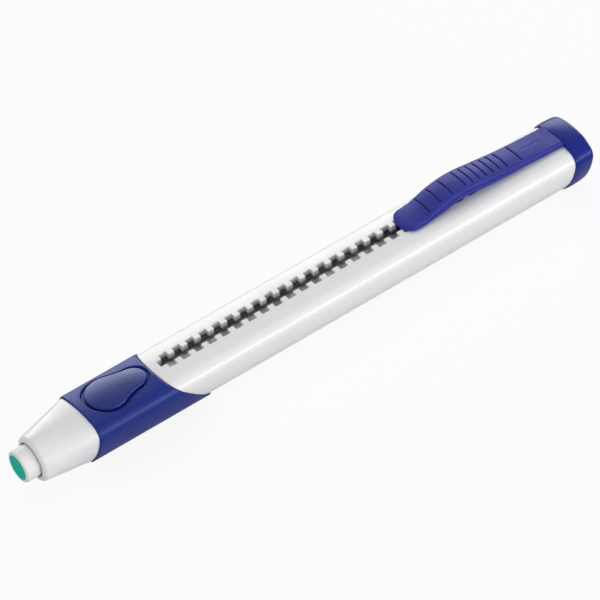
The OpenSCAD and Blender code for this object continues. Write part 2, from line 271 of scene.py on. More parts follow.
def slot_painted_shade(material):
    """Painted shade, nearly black, darkens the slot's walls: the mask grows as the height over the axis falls from
    the top limit to the deep one. It is cut off below the axis, and farther than its half width from the middle."""
    tree = material.node_tree
    place = add_node(tree, "ShaderNodeSeparateXYZ", {0: add_node(tree, "ShaderNodeTexCoord")["Object"]})
    deep = ramp(tree, place["Z"], SLOT_SHADE_TOP * MM, SLOT_SHADE_DEEP * MM, kind="SMOOTHSTEP")
    near = maths(tree, "LESS_THAN", maths(tree, "ABSOLUTE", place["Y"]), SLOT_SHADE_HALF * MM)
    above = maths(tree, "GREATER_THAN", place["Z"], 0)
    mask = maths(tree, "MULTIPLY", maths(tree, "MULTIPLY", deep, near), above)
    shade(material, mask, (0.012, 0.012, 0.013), 0.99)


def slant_x(z):
    """Place along the axis of the grip's slanted rear plane, at a height: it moves forward as the height grows."""
    return SLANT_X - SLANT * z


def barrel_turns(depth):
    """Directions of the barrel's columns. Those of the slot's and notches' edges are the arc sines of their half
    widths over the face's radius, less the depth under the face."""
    lines = np.degrees(np.arcsin(np.array([NOTCH_HALF, SLOT_HALF]) / (FACE_R - depth)))
    half = np.concatenate([PLAIN_TURNS, lines])
    return turns(np.concatenate([-half, half[::-1]]), 10, 20)


def barrel_mesh():
    """Rings along the axis: over the spigot, the grip's seat, its slanted shoulder and the outside to the rear, and
    back along the inside. Columns lie on the slot's edges, and rings on the notches' ends, so the slot is the
    faces left out, and each edge round it is walled from the outside to the inside."""
    out, inner = barrel_turns(0), barrel_turns(WALL)
    bore, spigot, seat, skin = circle(out, BORE_R), circle(out, SPIGOT_R), outline(out, -SEAT), outline(out, 0)
    front = np.stack([ring(SPIGOT_X, bore), ring(SPIGOT_X, spigot), ring(SHOULDER_X, spigot),
                      ring(SHOULDER_X, seat), ring(slant_x(seat[1]), seat)])

    edge = slant_x(FACE_H)
    columns, first = len(out), len(PLAIN_TURNS)     # first: the column of the slot's first edge line
    notches = NOTCH_X + NOTCH_PITCH * np.arange(NOTCHES)[:, None] + NOTCH_LEN / 2 * np.array([-1, 1])
    places = np.concatenate([[edge, BEFORE_SLOT_X, SLOT_X], notches.ravel(), BEHIND_NOTCHES_X, [REAR_X]])
    lean = np.clip((SQUARE_X - places) / (SQUARE_X - edge), 0, 1)[:, None] * (slant_x(skin[1]) - edge)
    lean[1:, first:first + 4] = 0
    along = places[:, None] + lean
    outside, inside = ring(along, skin), ring(np.maximum(along, INSIDE_X), outline(inner, -WALL))
    back = np.stack([ring(INSIDE_X, outline(inner, -WALL)), ring(INSIDE_X, bore)])
    points = np.concatenate([front, outside, inside[::-1], back])
    faces = grid_faces(len(points), columns, True)

    n, f = len(places), len(front)
    middle = (places[:-1] + places[1:]) / 2
    in_slot = middle > SLOT_X
    nearest = abs((middle - NOTCH_X + NOTCH_PITCH / 2) % NOTCH_PITCH - NOTCH_PITCH / 2)
    in_notch = in_slot & (nearest < NOTCH_LEN / 2) & (middle < notches.max())
    cut = np.zeros((n - 1, columns), bool)
    cut[:, first + 1] = in_slot
    cut[:, first] = cut[:, first + 2] = in_notch
    keep = np.ones(faces.shape[:2], bool)
    keep[f:f + n - 1] = ~cut
    keep[f + n - 1] = ~cut[-1]
    keep[f + n:f + 2 * n - 1] = ~cut[::-1]

    outer_id = (f + np.arange(n))[:, None] * columns + np.arange(columns)
    inner_id = (f + 2 * n - 1 - np.arange(n))[:, None] * columns + np.arange(columns)
    i, j = np.nonzero(cut != np.roll(cut, 1, axis=1))
    sides = np.stack([outer_id[i, j], outer_id[i + 1, j], inner_id[i + 1, j], inner_id[i, j]], -1)
    i, j = np.nonzero(cut[:-1] != cut[1:])
    ends = np.stack([outer_id[i + 1, j], outer_id[i + 1, j + 1], inner_id[i + 1, j + 1], inner_id[i + 1, j]], -1)
    return points, np.concatenate([faces[keep], sides, ends])


WHITE = (0.80, 0.80, 0.805), (0.76, 0.76, 0.77), 0.30, 0.40         # the two tones and roughnesses of white plastic
barrel_plastic = moulded("barrel plastic", *WHITE, specular=0.4)
# The slot's walls get painted shade, nearly black.
slot_painted_shade(barrel_plastic)
barrel = new_piece("barrel_shell", *barrel_mesh(), barrel_plastic, "barrel", "white_plastic")
soften(barrel, EDGE_ROUND)
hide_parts("barrel")

# ---------------------------------------------------------------------------------------------------------------
# Nose cone. A separate white moulding, pushed on the barrel's spigot: a round front rim with a soft fillet round
# the eraser's hole, running out to the barrel's three-sided outline at the grip.
NOSE_X = 3.2            # the rim's front face
RIM_R, RIM_FILLET = 5.0, 0.9
HOLE_LIP = (0.15, 0), (0.04, 0.04), (0, 0.15)       # the hole's rounded edge: behind the front face, wider than it
REAR_LIP = (0.1, 0), (0.03, 0.03), (0, 0.12)        # the rear edge: before the end, narrower than the barrel
SOCKET_R, SOCKET_X = 4.52, 7.8
HOLE_CLEAN_R, HOLE_DARK_R = 3.82, 3.72              # radii where the hole's painted shade starts, and where it is full


def nose_mesh():
    """Rings from the hole's front edge over the rim's fillet and down the cone, then back through the socket. On
    the cone each point runs straight from the fillet to the point of the rounded triangle that faces the same way,
    and the fillet ends where it has turned to that line's slope."""
    out = turns(np.linspace(-FACE_HALF, FACE_HALF, 13), 12, 30)
    end = outline(out, 0)
    facing = end[0] * np.cos(np.radians(out)) + end[1] * np.sin(np.radians(out))
    slope = np.zeros_like(out)
    for _ in range(4):
        rise = facing - (RIM_R - RIM_FILLET) - RIM_FILLET * np.cos(slope)
        slope = np.arctan2(rise, SHOULDER_X - NOSE_X - RIM_FILLET + RIM_FILLET * np.sin(slope))
    rings = [ring(NOSE_X + behind, circle(out, BORE_R + wider)) for behind, wider in HOLE_LIP]
    for share in np.linspace(0, 1, 9):
        lean = share * (np.pi / 2 - slope)
        rings.append(ring(NOSE_X + RIM_FILLET * (1 - np.cos(lean)),
                          circle(out, RIM_R - RIM_FILLET + RIM_FILLET * np.sin(lean))))
    start = rings[-1]
    lip = [ring(SHOULDER_X - before, outline(out, -narrower)) for before, narrower in REAR_LIP]
    rings += [start + (lip[0] - start) * share for share in np.linspace(0, 1, 12)[1:]] + lip[1:]
    rings += [ring(SHOULDER_X, circle(out, SOCKET_R)), ring(SOCKET_X, circle(out, SOCKET_R)),
              ring(SOCKET_X, circle(out, BORE_R))]
    return np.stack(rings), grid_faces(len(rings), len(out), True)


def hole_painted_shade(material):
    """Painted shade greys the wall of the eraser's hole: the mask grows as the distance from the axis falls from
    the radius where it starts to the one where it is full, just wider than the hole."""
    tree = material.node_tree
    place = add_node(tree, "ShaderNodeTexCoord")["Object"]
    across = add_node(tree, "ShaderNodeVectorMath", {0: place, 1: (0, 1, 1)}, operation="MULTIPLY")[0]
    reach = add_node(tree, "ShaderNodeVectorMath", {0: across}, operation="LENGTH")["Value"]
    mask = ramp(tree, reach, HOLE_CLEAN_R * MM, HOLE_DARK_R * MM, kind="SMOOTHSTEP")
    shade(material, mask, (0.05, 0.05, 0.052), 0.93)


nose_plastic = moulded("nose plastic", *WHITE, specular=0.4)
# The hole's wall gets painted shade.
hole_painted_shade(nose_plastic)
nose = new_piece("nose_cone_shell", *nose_mesh(), nose_plastic, "barrel", "white_plastic")
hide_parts("nose_cone")

# ---------------------------------------------------------------------------------------------------------------
# Grip. A sleeve of soft blue rubber moulded over the barrel's seat, with rounded lips at both ends and a groove
# round the place of the thumb pad. A thin parting line runs along it beside each upper corner.
GRIP_PROUD, GRIP_LIP, GRIP_INSIDE = 0.35, 0.22, -0.58       # outside, rounding of the lips, and inside
LINE_TURN, LINE_RISE = 23.2, 0.045      # the parting line's direction from the top, in degrees, and its height
LINE_NEAR = 1.6         # the column that is nearer to it than this, in degrees, is raised
PAD_X = 22.1            # the centre of the pad's large lobe
PAD_BIG, PAD_SMALL, PAD_LEN = 4.6, 2.85, 6.2        # the lobes' radii, and the distance between their centres
PAD_WAIST = 14          # radius of the hollow sides between the lobes
PAD_GROOVE, PAD_DEEP = 0.6, 0.55        # the groove's width and depth
GROOVE_IN, GROOVE_OUT = PAD_GROOVE - 0.12, PAD_GROOVE + 0.1         # foot and top edge of its outer wall
GROOVE_Z, GROOVE_CLEAR = 2.5, 0.1       # it stays above this height, and off the rear edge


def pad_outline(grown, count=44):
    """The thumb pad's outline seen from above, x and y: an arc round the large lobe, a hollow arc to the small
    lobe, an arc round that and a hollow arc back. The hollow arcs' centres are as far from both lobes' centres as
    the radii add up to. Grown outwards, the lobes' radii grow and the hollows' shrink."""
    big, small, waist = PAD_BIG + grown, PAD_SMALL + grown, PAD_WAIST - grown
    a, b = big + waist, small + waist
    wx = (a * a - b * b + PAD_LEN ** 2) / (2 * PAD_LEN)
    wy = np.sqrt(a * a - wx * wx)
    t1, t2 = np.arctan2(wy, wx), np.arctan2(wy, wx - PAD_LEN)
    x, y = [], []
    for cx, cy, r, start, stop, n in ((0, 0, big, t1, 2 * np.pi - t1, 2 * count),
                                      (wx, -wy, waist, np.pi - t1, np.pi - t2, count // 2),
                                      (PAD_LEN, 0, small, -t2, t2, count),
                                      (wx, wy, waist, np.pi + t2, np.pi + t1, count // 2)):
        angle = np.linspace(start, stop, n + 1)[:-1]
        x.append(cx + r * np.cos(angle))
        y.append(cy + r * np.sin(angle))
    return PAD_X + np.concatenate(x), np.concatenate(y)


def distance_to_pad(x, y):
    """Distance from each point to the pad's outline seen from above, below zero inside: the least distance to any
    of the outline's short straight pieces, and inside where a line to the side crosses it an odd number of times."""
    px, py = pad_outline(0)
    qx, qy = np.roll(px, -1), np.roll(py, -1)
    x, y = np.asarray(x)[..., None], np.asarray(y)[..., None]
    share = ((x - px) * (qx - px) + (y - py) * (qy - py)) / ((qx - px) ** 2 + (qy - py) ** 2)
    share = np.clip(share, 0, 1)
    away = np.hypot(x - px - share * (qx - px), y - py - share * (qy - py)).min(-1)
    crossing = ((py > y) != (qy > y)) & (x < (qx - px) * (y - py) / np.where(qy == py, 1, qy - py) + px)
    return np.where(crossing.sum(-1) % 2 == 1, -away, away)


def smooth_step(value, low, high):
    """0 below low, 1 above high, and an S-curve between."""
    share = np.clip((value - low) / (high - low), 0, 1)
    return share * share * (3 - 2 * share)


def grip_mesh():
    """Rings from the front lip to the slanted rear lip and back along the inside. The outside stands proud of the
    triangle by a fixed height, less a quarter circle at each lip, less the groove's depth near and under the pad.
    The parting line raises the one column beside each upper corner that lies nearest to LINE_TURN."""
    out = turns(np.linspace(-FACE_HALF, FACE_HALF, 105), 10, 30)
    start, stop = SHOULDER_X, slant_x(outline(out, GRIP_PROUD)[1])
    lip = GRIP_LIP * (1 - np.cos(np.linspace(0, np.pi / 2, 6)))[:, None]
    middle = np.linspace(0, 1, 170)[1:-1, None]
    along = np.concatenate([
        start + lip + 0 * stop, start + GRIP_LIP + middle * (stop - start - 2 * GRIP_LIP), stop - lip[::-1]])
    inset = np.minimum(np.minimum(along - start, stop - along), GRIP_LIP)
    grown = GRIP_PROUD - GRIP_LIP + np.sqrt(GRIP_LIP ** 2 - (GRIP_LIP - inset) ** 2)
    from_top = abs((out + 90) % 360 - 180)
    grown = grown + LINE_RISE * (abs(from_top - LINE_TURN) < LINE_NEAR) * (inset == GRIP_LIP)
    y, z = outline(np.broadcast_to(out, along.shape), grown)
    near = (z > GROOVE_Z) & (along < stop - GROOVE_CLEAR)
    sunk = np.zeros_like(along)
    sunk[near] = 1 - smooth_step(distance_to_pad(along[near], y[near]), GROOVE_IN, GROOVE_OUT)
    y, z = outline(np.broadcast_to(out, along.shape), grown - PAD_DEEP * sunk)
    along[-1] = slant_x(z[-1])
    inner = outline(out, GRIP_INSIDE)
    rings = np.concatenate([
        ring(along, (y, z)), ring(slant_x(inner[1]), inner)[None], ring(start, inner)[None]])
    return rings, grid_faces(len(rings), len(out), True)


BLUE_GLOSS = (0.62, 0.72, 1.0)          # the blue dye also tints what the soft gloss reflects
grip_rubber = moulded("grip rubber", (0.011, 0.025, 0.20), (0.008, 0.019, 0.17), 0.38, 0.46,
                      grain=3200, mottle=180, bump=0.2, scratch=0.25, specular=0.24, tint=BLUE_GLOSS)
grip = new_piece("grip_rubber", *grip_mesh(), grip_rubber, "barrel", "grip_rubber", sharp=60)
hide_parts("grip_sleeve")

# ---------------------------------------------------------------------------------------------------------------
# Thumb pad. A pear-shaped pad of softer rubber in the same blue, set in the grip's pocket with its large lobe to
# the nose. It doesn't move: its crown is a low dome, and its edge is rounded into the groove.
PAD_TOP, PAD_ALONG_R, PAD_ACROSS_R = 6.5, 45.0, 18.0        # the dome's height over the axis, and its two radii
PAD_EDGE, PAD_FIT = 0.35, 0.02          # rounding of the edge, and the gap over the pocket's floor


def dome_z(x, y):
    """Height of the pad's crown: a round of PAD_ACROSS_R swept along a round of PAD_ALONG_R."""
    swept = PAD_ALONG_R - PAD_ACROSS_R + np.sqrt(PAD_ACROSS_R ** 2 - y ** 2)
    return PAD_TOP - PAD_ALONG_R + np.sqrt(swept ** 2 - (x - PAD_X - PAD_LEN / 3) ** 2)


def floor_z(y):
    """Height of the pad's underside: the face's arc, less the pocket's depth, seen from the arc's centre."""
    return np.sqrt((FACE_R + GRIP_PROUD - PAD_DEEP + PAD_FIT) ** 2 - y ** 2) - FACE_RISE


def pad_mesh():
    """Rings that start at the spine between the lobes' centres, run out along the pocket's floor, up the side, over
    the rounded edge and back over the crown to the spine. Each ring is the outline drawn in towards the spine."""
    x, y = pad_outline(0)
    spine = np.clip(x, PAD_X, PAD_X + PAD_LEN)
    rings = [ring(spine + (x - spine) * t, (y * t, floor_z(y * t))) for t in (0, 0.5, 1)]
    for lean in np.linspace(0, np.pi / 2, 8):
        ex, ey = pad_outline(-PAD_EDGE * (1 - np.cos(lean)))
        rings.append(ring(ex, (ey, dome_z(ex, ey) - PAD_EDGE * (1 - np.sin(lean)))))
    ex, ey = pad_outline(-PAD_EDGE)
    for t in np.linspace(1, 0, 14)[1:]:
        tx, ty = spine + (ex - spine) * t, ey * t
        rings.append(ring(tx, (ty, dome_z(tx, ty))))
    return np.stack(rings), grid_faces(len(rings), len(x), False)


pad_rubber = moulded("pad rubber", (0.006, 0.014, 0.16), (0.004, 0.010, 0.135), 0.30, 0.38,
                     grain=3600, mottle=200, bump=0.15, scratch=0.15, specular=0.42, tint=BLUE_GLOSS)
pad = new_piece("thumb_pad_dome", *pad_mesh(), pad_rubber, "barrel", "grip_rubber", sharp=60)
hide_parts("thumb_pad")

# ---------------------------------------------------------------------------------------------------------------
# End cap. A moulding of blue plastic, plugged into the barrel's open rear end. Its outline is the barrel's, a
# little proud, with a raised crest as wide as the clip that hides the clip's rear end.
CAP_X, CAP_END, CAP_PROUD, CAP_ROUND = 132.5, 137.3, 0.35, 0.95
BAND_X = CAP_X + 0.12   # where the front edge's rounding ends
CREST_Z, CREST_R, CREST_TURN = 6.88, 16.0, 13.0     # the crest's height, radius, and half of its angle
CAP_SIDE_R = 4.0        # radius of the arcs beside it
CREST_SINK = 1.2        # how much faster than the rest the crest and its sides are drawn in
CAP_FULL = 0.4          # where along the band it is fullest
CAP_FRONT, CAP_REAR = 0.15, 0.1         # how much less it is at its front and at its rear
CAP_LIP = (0, 0.1), (0.03, 0.03)        # the front edge: behind the front, narrower than the band's front
PLUG_X, PLUG_LIP, CAP_FIT = 130.2, 0.18, 0.02       # the plug's front, its rounding, and the gaps to the barrel


def cap_outline(turn, inset):
    """The cap's outline, drawn in by inset. Within CREST_TURN of the top it is the crest's shallow arc, and an arc
    of CAP_SIDE_R carries on from each end of it, as far out as it reaches beyond the rounded triangle. The arcs
    touch because their centres are as far apart as their radii differ."""
    y, z = outline(turn, CAP_PROUD - inset)
    cos, sin = np.cos(np.radians(turn)), np.sin(np.radians(turn))
    from_top = abs((turn + 90) % 360 - 180)
    for half, apart in ((CREST_TURN, 0), (90, CREST_R - CAP_SIDE_R)):
        lean = np.radians(CREST_TURN) * np.where(cos >= 0, 1, -1)
        cy, cz = apart * np.sin(lean), CREST_Z - CREST_R + apart * np.cos(lean)
        r = CREST_R - apart - CREST_SINK * inset
        farther = (from_top <= half) & ((apart == 0) | (cy * cos + cz * sin + r > y * cos + z * sin))
        y, z = np.where(farther, cy + r * cos, y), np.where(farther, cz + r * sin, z)
    return y, z


def cap_mesh():
    """Rings from the middle of the plug's front over the plug, out to the rim, along a band that bulges by a
    parabola to each side of its fullest place, and over the rear rounding to the middle of the flat rear face."""
    out = turns(np.linspace(-FACE_HALF, FACE_HALF, 20), 12, 36)
    plug, sleeve = outline(out, -WALL - CAP_FIT), outline(out, CAP_FIT)
    rings = [ring(PLUG_X, (plug[0] * t, plug[1] * t)) for t in (0, 0.5)]
    rings += [ring(PLUG_X, outline(out, -WALL - CAP_FIT - PLUG_LIP)), ring(PLUG_X + PLUG_LIP, plug),
              ring(REAR_X, plug), ring(REAR_X, sleeve), ring(CAP_X, sleeve)]
    rings += [ring(CAP_X + behind, cap_outline(out, CAP_FRONT + narrower)) for behind, narrower in CAP_LIP]
    start, stop = BAND_X, CAP_END - CAP_ROUND
    for t in np.linspace(0, 1, 10):
        less, span = (CAP_FRONT, CAP_FULL) if t < CAP_FULL else (CAP_REAR, 1 - CAP_FULL)
        rings.append(ring(start + (stop - start) * t, cap_outline(out, less * ((t - CAP_FULL) / span) ** 2)))
    for lean in np.linspace(0.12, np.pi / 2, 10):
        inset = CAP_REAR + (CAP_ROUND - CAP_REAR) * (1 - np.cos(lean))
        rings.append(ring(stop + CAP_ROUND * np.sin(lean), cap_outline(out, inset)))
    y, z = cap_outline(out, CAP_ROUND)
    rings += [ring(CAP_END, (y * t, z * t)) for t in (0.5, 0)]
    return np.stack(rings), grid_faces(len(rings), len(out), False)


cap_plastic = moulded("cap plastic", (0.010, 0.022, 0.215), (0.007, 0.016, 0.18), 0.28, 0.36,
                      grain=2400, mottle=160, bump=0.08, scratch=0.4, specular=0.18, tint=BLUE_GLOSS)
cap = new_piece("end_cap_shell", *cap_mesh(), cap_plastic, "barrel", "blue_plastic", sharp=40)
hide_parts("end_cap")

# ---------------------------------------------------------------------------------------------------------------
# Clip. One springy moulding of blue plastic is the pocket clip and the slider's handle: it arches over the barrel
# from a rounded tip, has a thin rim along its lower edge and eleven fine grip lines across its top.
TIP_X, CLIP_LEN, CLIP_HALF, TIP_LEN = 93.2, 39.15, 3.65, 2.6
RIM_T, RIM_OUT, RIM_ROUND = 0.5, 0.22, 0.08         # the rim's thickness, how far it stands out, and its rounding
RIM_HANG = 0.42         # how much deeper it hangs under the arch
HANG_FROM, HANG_TO = 0.3, 1.2           # heights of the arch between which it comes to hang so
EDGE, EDGE_TURN = 0.5, 80               # the top edge's radius, and how far it turns, in degrees
CROWN_S, ARCH_H = 14.5, 1.9             # where the arch is highest, and its clear height there
# Underside and top along the clip: place from the tip, height over the barrel's face, and slope.
UNDER = [(0, 0.05, 0), (4.4, 0.1, 0.08), (CROWN_S - 4, ARCH_H * 0.76, 0.25), (CROWN_S - 0.5, ARCH_H, 0),
         (CROWN_S + 6, ARCH_H * 0.7, -0.09), (CLIP_LEN, 0.05, -0.02)]
TOP = [(0, RIM_T, 0.7), (3, 1.25, 0.17), (6.3, 1.95, 0.33), (CROWN_S - 5.3, 2.9, 0.25), (CROWN_S, 3.6, 0),
       (CROWN_S + 6.3, 2.97, -0.125), (CROWN_S + 15.7, 1.77, -0.11), (CLIP_LEN, 1.1, -0.06)]
CROWN_RISE, CROWN_DROP = 0.06, 0.3      # how much the top is crowned, and how much its edges drop away
DROP_TIP, DROP_REAR = (0, 6), (CLIP_LEN - 14, CLIP_LEN - 2)         # where the drop grows, and where it ends
ACROSS = np.array([0.97, 0.93, 0.9, 0.86, 0.8, 0.7, 0.55, 0.4, 0.25, 0.12, 0.05, 0.02, 0])     # columns of the top
LINES = np.concatenate([6.35 + 2.87 * np.arange(3), 15.5 + 1.73 * np.arange(7), [29.4]])
LINE_HALF, LINE_W, LINE_DEEP = 2.65, 0.28, 0.32
LINE_END = LINE_HALF - 0.12, LINE_HALF + 0.06       # from where to where a line runs out
LINE_BELL, SHADE_BELL = LINE_W * 0.42, LINE_W * 0.5  # widths of the bell curves of its groove and of its painted shade
LINE_STEPS = np.array([0.03, 0.09, 0.16, 0.24, 0.34])       # sections to each side of a line's middle
SEAM_START, SEAM_STOP, SEAM_DEEP = 31, 36, 0.05     # the fine line along the rear part
SEAM_END, SEAM_SIDE = 0.2, (0.03, 0.13)             # how it runs out at its ends, and its wall to each side


def through(points, s):
    """Smooth curve through points of place, height and slope: between two of them, the cubic with their heights
    and slopes."""
    p = np.array(points, float)
    i = np.clip(np.searchsorted(p[:, 0], s, side="right") - 1, 0, len(p) - 2)
    w = p[i + 1, 0] - p[i, 0]
    t = (s - p[i, 0]) / w
    return (p[i, 1] * (2 * t ** 3 - 3 * t ** 2 + 1) + p[i + 1, 1] * (3 * t ** 2 - 2 * t ** 3)
            + w * (p[i, 2] * (t ** 3 - 2 * t ** 2 + t) + p[i + 1, 2] * (t ** 3 - t ** 2)))


def clip_mesh():
    """Sections across the clip, from its tip to its rear end. The half width is an ellipse's over the tip and then
    constant. A section runs from the middle of the underside out to the rim, up over it, up the body's side, round
    the edge and over a slightly crowned top, which each grip line sinks by a bell-shaped groove."""
    s = np.unique(np.round(np.concatenate([
        TIP_LEN * (1 - np.cos(np.radians(np.linspace(0, 90, 16)))), np.linspace(TIP_LEN, CLIP_LEN, 76),
        (LINES[:, None] + LINE_STEPS).ravel(), (LINES[:, None] - LINE_STEPS).ravel()]), 4))[:, None]
    w = CLIP_HALF * np.sqrt(1 - np.clip(1 - s / TIP_LEN, 0, 1) ** 2)
    low, high = through(UNDER, s), through(TOP, s)
    # Rim r, ledge and edge radius e get smaller where the clip is too narrow or too thin for them.
    rim = np.minimum(RIM_OUT, w * 0.3)
    r = np.minimum(RIM_ROUND, rim * 0.4)
    b = w - rim
    ledge = np.minimum(low + RIM_T, high - 0.02)
    low = low - RIM_HANG * smooth_step(low, HANG_FROM, HANG_TO)
    e = np.minimum(np.minimum(EDGE, b * 0.45), (high - ledge) * 0.8)
    drop = CROWN_DROP * smooth_step(s, *DROP_TIP) * (1 - smooth_step(s, *DROP_REAR))

    lean = np.radians(np.linspace(0, EDGE_TURN, 6))
    edge = high - drop - e
    corner = b - e * (1 - np.cos(lean[-1]))
    y = np.concatenate([0 * w, w * 0.6, w - r, w, w, w - r, b + 0.3 * r, b, b - e * (1 - np.cos(lean)),
                        corner * ACROSS], 1)
    z = np.concatenate([low, low, low, low + r, ledge - r, ledge, ledge, ledge + 0.3 * (edge - ledge),
                        edge + e * np.sin(lean), edge + e * np.sin(lean[-1]) + 0 * ACROSS], 1)
    on_top = corner * ACROSS / np.maximum(corner, 1e-6)
    z[:, -len(ACROSS):] += (e * (1 - np.sin(lean[-1])) + drop + CROWN_RISE * (drop > 0)) * (1 - on_top ** 2)

    body = z > ledge + 0.1
    sunk = np.exp(-((s - LINES) / LINE_BELL) ** 2).sum(1, keepdims=True)
    z -= LINE_DEEP * sunk * (1 - smooth_step(y, *LINE_END)) * body
    seam = smooth_step(s, SEAM_START - SEAM_END, SEAM_START + SEAM_END)
    seam *= 1 - smooth_step(s, SEAM_STOP - SEAM_END, SEAM_STOP + SEAM_END)
    z -= SEAM_DEEP * seam * (1 - smooth_step(y, *SEAM_SIDE)) * body

    right = ring(TIP_X + s, (y, FACE_H + z))
    left = (right * (1, -1, 1))[:, ::-1]
    rings = np.concatenate([right, left[:, 1:-1]], 1)
    last = rings[-1:]
    middle = np.broadcast_to(last.mean(1, keepdims=True), last.shape)
    rings = np.concatenate([rings, last + (middle - last) * 0.5, middle])
    return rings, grid_faces(len(rings), rings.shape[1], False)


def groove_painted_shade(piece, material):
    """Painted shade darkens the grip lines: an attribute holds how close a point of the top is to a line's middle,
    as a bell curve, and darkens the colour there."""
    place = np.empty(len(piece.data.vertices) * 3, np.float32)
    piece.data.vertices.foreach_get("co", place)
    x, y, z = (place.reshape(-1, 3) / MM).T
    near = np.exp(-((x[:, None] - TIP_X - LINES) / SHADE_BELL) ** 2).sum(1)
    near *= 1 - smooth_step(abs(y), LINE_HALF - 0.1, LINE_HALF + 0.1)
    near *= z > FACE_H + through(UNDER, x - TIP_X) + RIM_T
    piece.data.attributes.new("groove", "FLOAT", "POINT").data.foreach_set("value", near.astype(np.float32))
    mark = add_node(material.node_tree, "ShaderNodeAttribute", attribute_name="groove")["Fac"]
    shade(material, mark, (0.008, 0.009, 0.07), 0.5)


clip_plastic = moulded("clip plastic", (0.039, 0.043, 0.285), (0.032, 0.035, 0.25), 0.36, 0.44,
                       grain=2800, mottle=170, bump=0.14, scratch=0.35, specular=0.12, tint=BLUE_GLOSS)
clip = new_piece("clip_strap", *clip_mesh(), clip_plastic, "slider", "blue_plastic", sharp=45)
# The grip lines get painted shade.
groove_painted_shade(clip, clip_plastic)
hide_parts("clip")
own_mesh(clip)

# ---------------------------------------------------------------------------------------------------------------
# Post. It is moulded under the clip's rear end and stands through the slot in the carriage's pocket, so that the
# clip pushes the carriage along. It has rounded corners and a slight taper to leave the mould.
POST_X, POST_LEN, POST_HALF, POST_R = 123.5, 5.5, 0.88, 0.35
POST_LOW, POST_HIGH = 0.92, 6.4


def post_mesh():
    """Rings up the post, each a rectangle with rounded corners: the corner's centre plus its radius along the
    direction. The rings draw in by a few hundredths towards the foot, and close at the middle of both ends."""
    angle = np.radians(np.arange(0, 360, 7.5) + 3.75)
    rings = []
    for z, inset, share in ((POST_LOW, 0.2, 0), (POST_LOW, 0.2, 1), (POST_LOW + 0.15, 0.05, 1),
                            (FACE_H, 0, 1), (POST_HIGH, 0, 1), (POST_HIGH, 0, 0)):
        x = np.sign(np.cos(angle)) * (POST_LEN / 2 - POST_R) + (POST_R - inset) * np.cos(angle)
        y = np.sign(np.sin(angle)) * (POST_HALF - POST_R) + (POST_R - inset) * np.sin(angle)
        rings.append(ring(POST_X + POST_LEN / 2 + x * share, (y * share, z)))
    return np.stack(rings), grid_faces(len(rings), len(angle), False)


post = new_piece("clip_post", *post_mesh(), clip_plastic, "slider", "blue_plastic")

# ---------------------------------------------------------------------------------------------------------------
# Lock bar and carriage. The lock is a small blue moulding with two pairs of lugs that drop into the notches. The
# carriage is moulded in black plastic, and slides inside the barrel with the eraser's end in its three prongs.
lock_plastic = moulded("lock plastic", (0.022, 0.026, 0.18), (0.017, 0.020, 0.15), 0.34, 0.44,
                       grain=2600, mottle=260, bump=0.1, scratch=0.2, specular=0.3)
carriage_plastic = moulded("carriage plastic", (0.022, 0.022, 0.024), (0.016, 0.016, 0.017), 0.36, 0.5,
                           grain=2400, mottle=220, bump=0.16, scratch=0.4)
for node, material in (("lock_bar", lock_plastic), ("carriage", carriage_plastic)):
    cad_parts[node].material_slots[0].material = material

# ---------------------------------------------------------------------------------------------------------------
# Eraser. A stick of white vinyl rubber with a teal core, extruded together and cut square. Its front edge is worn
# round by rubbing, and the soft surface is matt, with fine pits and specks.
ERASER_R, CORE_R, ERASER_END, ERASER_EDGE = 3.45, 2.75, 103.98, 0.5
CORE_HOLLOW = 0.06      # how deep wear has hollowed the core's end
STREAK_Z, STREAK_X = (2.8, 3.4), (30, 44)           # height and place where the painted shade streak starts and is full
STREAK_PATCH, STREAK_BREAK = 260, (0.2, 0.6)        # scale of the noise that breaks it up, and what shows of it
around = np.arange(0, 360, 5.0)


def skin_mesh():
    """Rings from the core's edge over the front face and its worn edge, along the outside to the rear, and back
    through the hole that the core fills."""
    rings = [ring(0, circle(around, r)) for r in (CORE_R, CORE_R + 0.1)]
    rings += [ring(ERASER_EDGE * (1 - np.sin(lean)), circle(around, ERASER_R - ERASER_EDGE * (1 - np.cos(lean))))
              for lean in np.linspace(np.pi / 2, 0, 8)]
    rings += [ring(x, circle(around, ERASER_R)) for x in np.linspace(4, ERASER_END, 26)]
    rings += [ring(ERASER_END, circle(around, CORE_R))]
    return np.stack(rings), grid_faces(len(rings), len(around), True)


def core_mesh():
    """Rings from the middle of the front face, which wear has left hollow by a parabola, to its edge, along the
    side and in to the middle of the rear face."""
    rings = [ring(CORE_HOLLOW * (1 - t * t), circle(around, CORE_R * t)) for t in (0, 0.3, 0.6, 0.85, 1)]
    rings += [ring(x, circle(around, CORE_R)) for x in np.linspace(3, ERASER_END, 20)]
    rings += [ring(ERASER_END, circle(around, CORE_R * t)) for t in (0.5, 0)]
    return np.stack(rings), grid_faces(len(rings), len(around), False)


def stick_painted_shade(material):
    """Painted shade lays a broken grey streak along the stick's top, under the slot: the mask grows towards the
    top line, starts slowly near the slot's front end, and is broken up by noise."""
    tree = material.node_tree
    place = add_node(tree, "ShaderNodeTexCoord")["Object"]
    split = add_node(tree, "ShaderNodeSeparateXYZ", {0: place})
    high = ramp(tree, split["Z"], STREAK_Z[0] * MM, STREAK_Z[1] * MM, kind="SMOOTHSTEP")
    behind = ramp(tree, split["X"], STREAK_X[0] * MM, STREAK_X[1] * MM, kind="SMOOTHSTEP")
    patches = add_node(tree, "ShaderNodeTexNoise", {"Vector": place, "Scale": STREAK_PATCH})["Fac"]
    broken = ramp(tree, patches, *STREAK_BREAK, kind="SMOOTHSTEP")
    mask = maths(tree, "MULTIPLY", maths(tree, "MULTIPLY", high, behind), broken)
    shade(material, mask, (0.13, 0.13, 0.135), 0.8)


